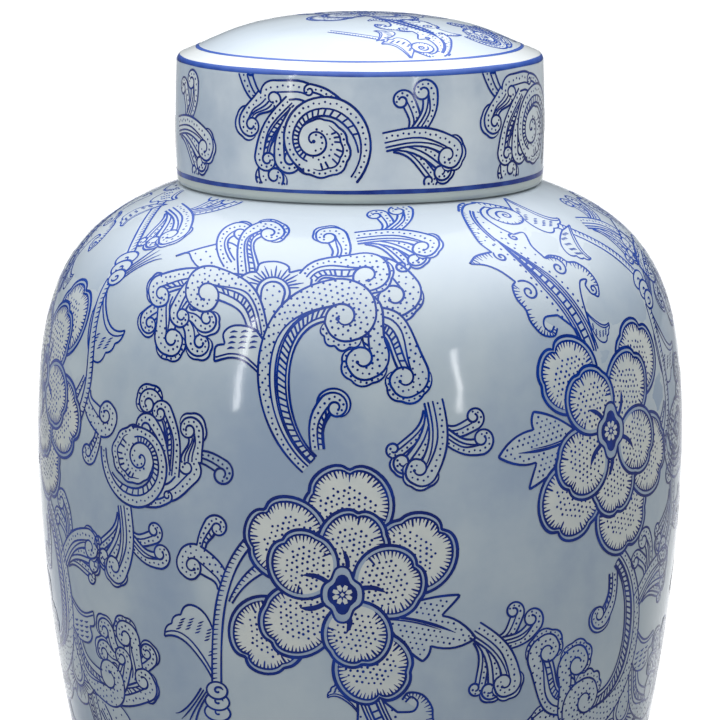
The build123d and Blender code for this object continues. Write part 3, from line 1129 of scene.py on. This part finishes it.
def jar_glaze():
    """Blue wash outside, white glaze inside, and a foot ring that is wiped bare."""
    material, shader, node, links = finish("jar_glaze")
    place = node("TexCoord").outputs["Object"]
    height = node("SeparateXYZ", None, _0=place).node.outputs[2]
    wash = watercolour(node, place, PALE_WASH, DEEP_WASH)
    facing = node("NewGeometry").node.outputs["Normal"]
    flat = node("VectorMath", {"operation": "MULTIPLY"}, _0=place, _1=(1, 1, 0))
    outward = node("VectorMath", {"operation": "DOT_PRODUCT"}, _0=facing, _1=flat).node.outputs["Value"]
    outside_share = ranged(node, outward, -0.001, 0.001)
    colour = mixed(node, outside_share, WHITE, wash)
    glazed = ranged(node, height, *FOOT_LINE)
    links.new(mixed(node, glazed, BARE_CLAY, colour), shader.inputs["Base Color"])
    glassy(shader, node, links, place)
    rough = shader.inputs["Roughness"].links[0].from_socket
    links.new(node("Mix", None, _0=glazed, _2=0.85, _3=rough), shader.inputs["Roughness"])
    return material


# %% The lid's ground
RIM_STARTS = (SEAT + 0.0408, SEAT + 0.0414)  # heights over which the white of the sloping rim comes in
RIM_ENDS = (SEAT + 0.0442, SEAT + 0.0446)
LEDGE_ENDS = (SEAT + 0.0030, SEAT + 0.0036)
LID_PALE = linear(209, 218, 223)
LID_DEEP = linear(154, 171, 190)
LEDGE_GREY = linear(176, 186, 184)


def lid_glaze():
    """As the jar's, but white on the sloping rim and paler below the lowest ring."""
    material, shader, node, links = finish("lid_glaze")
    place = node("TexCoord").outputs["Object"]
    height = node("SeparateXYZ", None, _0=place).node.outputs[2]
    wash = watercolour(node, place, LID_PALE, LID_DEEP)
    rim = node("Math", {"operation": "MULTIPLY"}, _0=ranged(node, height, *RIM_STARTS),
               _1=ranged(node, height, *RIM_ENDS, 1.0, 0.0))
    colour = mixed(node, rim, wash, WHITE)
    colour = mixed(node, ranged(node, height, *LEDGE_ENDS, 1.0, 0.0), colour, LEDGE_GREY)
    links.new(colour, shader.inputs["Base Color"])
    glassy(shader, node, links, place)
    return material


# %% Cobalt, and the tints
def inked(name, dark, light, thin_and_toplit_colour):
    """A fired colour that pools from dark to light, and is paler on the shoulder: partly thinner glaze,
    partly painted light from above.
    """
    material, shader, node, links = finish(name)
    place = node("TexCoord").outputs["Object"]
    pooling = node("TexNoise", None, Vector=place, Scale=170.0, Detail=2.0)
    drift = node("TexNoise", None, Vector=place, Scale=16.0, Detail=2.0)
    share = node("Math", {"operation": "MULTIPLY_ADD"}, _0=pooling, _1=0.7, _2=drift)
    colour = mixed(node, ranged(node, share, 0.65, 1.1), dark, light)
    links.new(thin_and_toplit(node, colour, thin_and_toplit_colour, 0.95), shader.inputs["Base Color"])
    glassy(shader, node, links, place)
    return material


jar_ground, lid_ground = jar_glaze(), lid_glaze()
# the last colour of each is used where the surface faces up: thinner glaze there, and painted light from
# above
ring_blue = inked("ring_blue", linear(16, 44, 124), linear(56, 86, 160), linear(60, 92, 172))
cobalt = inked("cobalt", linear(0, 26, 98), linear(14, 52, 136), linear(48, 82, 166))
paper_tint = inked("paper_tint", linear(170, 180, 186), linear(158, 170, 181), linear(193, 202, 209))
cream_tint = inked("cream_tint", linear(190, 194, 190), linear(177, 184, 185), linear(199, 207, 212))
lid_paper = inked("lid_paper", linear(208, 216, 219), linear(190, 201, 209), linear(206, 214, 219))
wash_tint = inked("wash_tint", linear(146, 160, 177), linear(128, 145, 170), linear(180, 192, 206))
for node_name, material in (("jar_body", jar_ground), ("lid", lid_ground)):
    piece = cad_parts[node_name]
    piece.data.materials.clear()
    piece.data.materials.append(material)

# %% [markdown]
# ## The whole sheet
#
# One unit of the pattern is a peony with everything that touches it. It is stamped together in two
# variants, which differ in how the petals lean and where the knot and the spray sit. The jar carries
# each of them three times: the first upright, the second upside down, a little higher and to the
# right. Swirls and sprigs fill the gaps, and smaller peonies make a row above the foot. All this is
# one sheet. Three sheets go round the jar, laid by hand, so they are not quite evenly spaced.

# %% Stamp a unit together
def unit(flower, carrier, spray_root):
    """A peony on the stem that carries it, with its leaf below and its spray above."""
    pen = Transfer()
    pen.stamp(spray(), at=spray_root)
    pen.stamp(scrolled_leaf(), at=(17.8, -53.5), turn=180)
    pen.stamp(carrier, at=(-45.1, -4.9))
    pen.stamp(flower, at=(0, 0))
    return pen


def turned(stamp, turn, size=1.0):
    """A copy of a stamp, turned and sized."""
    made = Transfer()
    made.stamp(stamp, turn=turn, size=size)
    return made


lower_unit = unit(peony(), bell_stem(), (-6.5, 73.7))
upper_unit = turned(unit(peony(19), bell_stem((12.6, -40), 20), (-2.3, 74.2)), 180)
sprig_stamp, swirl_stamp = sprig(), swirl()
print("one unit:", len(lower_unit.lines), "lines,", len(lower_unit.dots), "dots,",
      len(lower_unit.tints), "tints")

SHEETS = ((0, 0), (-125, 11), (117.5, 0))  # each: degrees round the jar, and millimetres up it
BODY_LAYOUT = (  # each: stamp, degrees round the jar from the sheet's middle, and height in mm
    (lower_unit, -3, 151.9), (upper_unit, 48.5, 195.3),
    (turned(swirl_stamp, 0), -40.7, 189.4),
    (turned(sprig_stamp, -94), -43.5, 175), (turned(sprig_stamp, -90), 13.5, 213),
    (turned(sprig_stamp, -46), 20.3, 141), (turned(sprig_stamp, 35), 57.5, 138.5),
    (turned(sprig_stamp, 0), -2.3, 258.8), (turned(sprig_stamp, -25), 64, 258),
    (turned(peony(), 20, 0.72), -13, 60), (turned(swirl_stamp, 200, 0.92), 27, 60),
    (turned(sprig_stamp, -60), 49, 62), (turned(sprig_stamp, 120), 86, 48),
    (turned(sprig_stamp, 60), 6, 30),
)

for number, (sheet, lift) in enumerate(SHEETS):
    ink, tint = Skin(), Skin()
    for stamp, angle, height in BODY_LAYOUT:
        lay, on_clay = wrapped(body_outline, sheet + angle, height, lift)
        apply_transfer(stamp, lay, on_clay, ink, tint)
    ink.make(f"jar_transfer_ink_{number + 1}", [cobalt], "jar", "cobalt_ink")
    tint.make(f"jar_transfer_tint_{number + 1}", [paper_tint, cream_tint, wash_tint], "jar", "petal_white")

# %% [markdown]
# ## The lid
#
# The lid's upright band carries four swirls and five sprigs, trimmed where the band's ring is
# painted. The dome has its own small sheet, laid flat on top. Wrapping it like the band would pinch
# the pattern at the centre, so `capped` keeps a point's distance from the middle as seen from above.

# %% The lid's band and dome
BAND_TOP = 306  # height of the band's upper ring, mm
ink, tint = Skin(), Skin()
for stamp, height, angles in (
    (turned(swirl_stamp, 140, 1.02), 286, (-13.8, 66.5, 146.5, 227)),
    (turned(sprig_stamp, 0), 287.5, (5.5, 85.5, 166, 246, 282)),
):
    for angle in angles:
        lay, on_clay = wrapped(lid_outline, angle, height, ceiling=BAND_TOP)
        apply_transfer(stamp, lay, on_clay, ink, tint)
lay, on_clay = capped(lid_outline)
dome = Transfer()
dome.stamp(swirl_stamp, at=(39, -15), turn=60, size=0.56)
dome.stamp(bell_stem(), at=(-16, 17), turn=75, size=0.56)
dome.stamp(swirl_stamp, at=(-26, 26), turn=200, size=0.5)
dome.stamp(sprig_stamp, at=(14, 30), turn=40, size=0.7)
dome.stamp(scrolled_leaf(), at=(19.4, -23.5), turn=-160, size=0.6)
dome.stamp(peony(), at=(1, 5), turn=20, size=0.6)
apply_transfer(dome, lay, on_clay, ink, tint)
ink.make("lid_band_ink", [cobalt], "lid", "cobalt_ink")
tint.make("lid_band_tint", [lid_paper, lid_paper, wash_tint], "lid", "petal_white")

# %% [markdown]
# ## Painted rings
#
# Rings are brushed on by hand while the pot turns on a wheel, so no ring is quite even. Each is a
# narrow band of quads on the outline. A few sine waves swell its width and let its course drift; a
# true circle with a bevel would look machined.

# %% Painted rings
def painted_ring(skin, outline, height, width, seed, count=400, rows=5):
    """A brushed ring of count by rows corners: its width and its course wander a little."""
    wander = random.Random(seed)
    phases = [(wander.uniform(0, 6), k) for k in (2, 3, 5, 9, 14)]
    mark = outline.mark_at(height)
    turn = np.linspace(0, 2 * math.pi, count, endpoint=False)
    swell = 1 + 0.05 * sum(np.sin(turn * k + phase) for phase, k in phases)
    drift = 0.06 * sum(np.sin(turn * k + phase * 2) for phase, k in phases[:3])
    side = np.c_[np.sin(turn), -np.cos(turn)]
    places, facings = [], []
    for row in range(rows):
        marks = mark + drift + (row / (rows - 1) - 0.5) * width * swell
        radius, level, out, up = outline.at(marks)
        places.append(np.c_[side * (radius + out * INK_PROUD)[:, None], level + up * INK_PROUD] * MM)
        facings.append(np.c_[side * out[:, None], up])
    skin.places += places
    skin.facings += facings
    for row in range(rows - 1):
        for k in range(count):
            after = (k + 1) % count
            a, b = skin.count + row * count + k, skin.count + row * count + after
            c, d = b + count, a + count
            skin.faces.append([a, b, c, d] if outline.upward else [a, d, c, b])
            skin.kinds.append(0)
    skin.count += rows * count


LID_RINGS = ((310.1, 1.1), (306.9, 1.9), (269.7, 1.8))  # each: height and width, mm
FOOT_RINGS = ((17.5, 1.8), (13.5, 1.1))
for body, outline, sizes, first_seed in (
    ("lid", lid_outline, LID_RINGS, 0), ("jar", body_outline, FOOT_RINGS, 5),
):
    rings = Skin()
    for seed, (height, width) in enumerate(sizes, first_seed):
        painted_ring(rings, outline, height, width, seed)
    rings.make(f"{body}_painted_rings", [ring_blue], body, "cobalt_ink")

# %% [markdown]
# ## Felt pads
#
# Four felt pads keep the foot ring from scratching a shelf. Felt is matted fibre: it has no gloss,
# and its fine fuzz brightens towards the edges, which is what the sheen setting is for. Distorted
# noise gives the fibres, both as colour and as bump.

# %% Felt
def felt():
    """Dark matted fibre, without gloss."""
    material, shader, node, links = finish("felt")
    place = node("TexCoord").outputs["Object"]
    fibres = node("TexNoise", None, Vector=place, Scale=900.0, Detail=4.0, Distortion=1.5)
    links.new(mixed(node, fibres, linear(24, 26, 30), linear(70, 72, 76)), shader.inputs["Base Color"])
    links.new(node("Bump", None, Strength=0.8, Distance=0.0004, Height=fibres), shader.inputs["Normal"])
    shader.inputs["Roughness"].default_value = 0.95
    shader.inputs["Sheen Weight"].default_value = 0.4
    return material


felt_finish = felt()
for name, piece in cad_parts.items():
    if name.startswith("felt_pad"):
        piece.data.materials.clear()
        piece.data.materials.append(felt_finish)

# %% [markdown]
# ## The studio
#
# Glaze shows the room, so the room is drawn with care. A large soft light overhead is a bright zenith
# in the world, which fades before the horizon. The floor is painted pale only behind the jar, where the
# camera sees it, as a painted pool of light, and grey elsewhere, as painted shade beside and in front of
# the pot that keeps its edges from burning out. Two narrow strips make the two streaks on the shoulder.

# %% Floor and light
FLOOR = 12  # half the floor's side, m
# grey is painted shade beside and in front of the jar; pale is the painted pool of light behind it
FLOOR_SHADE = (0.25, 0.25, 0.25, 1)
FLOOR_LIT = (0.66, 0.66, 0.66, 1)
DIM, BRIGHT = 0.10, 3.5  # the world's strength at the horizon and straight above

floor_mesh = bpy.data.meshes.new("floor")
floor_corners = [(x * FLOOR, y * FLOOR, 0) for x, y in ((-1, -1), (1, -1), (1, 1), (-1, 1))]
floor_mesh.from_pydata(floor_corners, [], [(0, 1, 2, 3)])
floor = bpy.data.objects.new("floor", floor_mesh)
bpy.context.collection.objects.link(floor)
floor_finish, shader, node, links = finish("floor")
spot = node("TexCoord").outputs["Object"]
across, behind, _ = node("SeparateXYZ", None, _0=spot).node.outputs
across = node("Math", {"operation": "ABSOLUTE"}, _0=across)
# painted light: the floor is pale where it is lit behind the jar, and grey, as painted shade, beside and in
# front of it
sideways = node("Math", {"operation": "MULTIPLY_ADD"}, _0=behind, _1=-0.075, _2=across)
lit = node("Math", {"operation": "MULTIPLY"}, _0=ranged(node, sideways, 0.14, 0.6, 1.0, 0.0),
           _1=ranged(node, behind, 0.08, 0.36))
links.new(mixed(node, lit, FLOOR_SHADE, FLOOR_LIT), shader.inputs["Base Color"])
shader.inputs["Roughness"].default_value = 0.9
shader.inputs["Specular IOR Level"].default_value = 0.1
floor_mesh.materials.append(floor_finish)

world = bpy.data.worlds.new("studio")
world.use_nodes = True
bpy.context.scene.world = world
wn, wl = world.node_tree.nodes, world.node_tree.links
sky = wn["Background"]
up = wn.new("ShaderNodeSeparateXYZ")
wl.new(wn.new("ShaderNodeTexCoord").outputs["Generated"], up.inputs[0])
ramp = wn.new("ShaderNodeMapRange")
wl.new(up.outputs[2], ramp.inputs[0])
ramp.interpolation_type = "SMOOTHSTEP"
for index, value in enumerate((0.35, 1.0, DIM, BRIGHT), 1):
    ramp.inputs[index].default_value = value
wl.new(ramp.outputs[0], sky.inputs["Strength"])
sky.inputs["Color"].default_value = (0.97, 0.985, 1.0, 1)


STRIP_AIM = Vector((0, 0, 0.2))  # the shoulder's height, on the jar's axis
STRIP_DISTANCE = 1.5


def strip_light(name, azimuth, elevation, wide, high, power):
    """A narrow softbox that faces the jar's shoulder."""
    data = bpy.data.lights.new(name, "AREA")
    data.shape, data.size, data.size_y, data.energy = "RECTANGLE", wide, high, power
    lamp = bpy.data.objects.new(name, data)
    a, e = math.radians(azimuth), math.radians(elevation)
    toward = Vector((math.sin(a) * math.cos(e), -math.cos(a) * math.cos(e), math.sin(e)))
    lamp.location = STRIP_AIM + toward * STRIP_DISTANCE
    lamp.rotation_euler = (STRIP_AIM - lamp.location).to_track_quat("-Z", "Y").to_euler()
    bpy.context.collection.objects.link(lamp)


strip_light("strip_left", -42.6, 18.5, 0.045, 0.98, 3.8)
strip_light("strip_right", 33.8, 10.5, 0.05, 0.5, 1.6)
bpy.context.scene.view_settings.view_transform = "Standard"
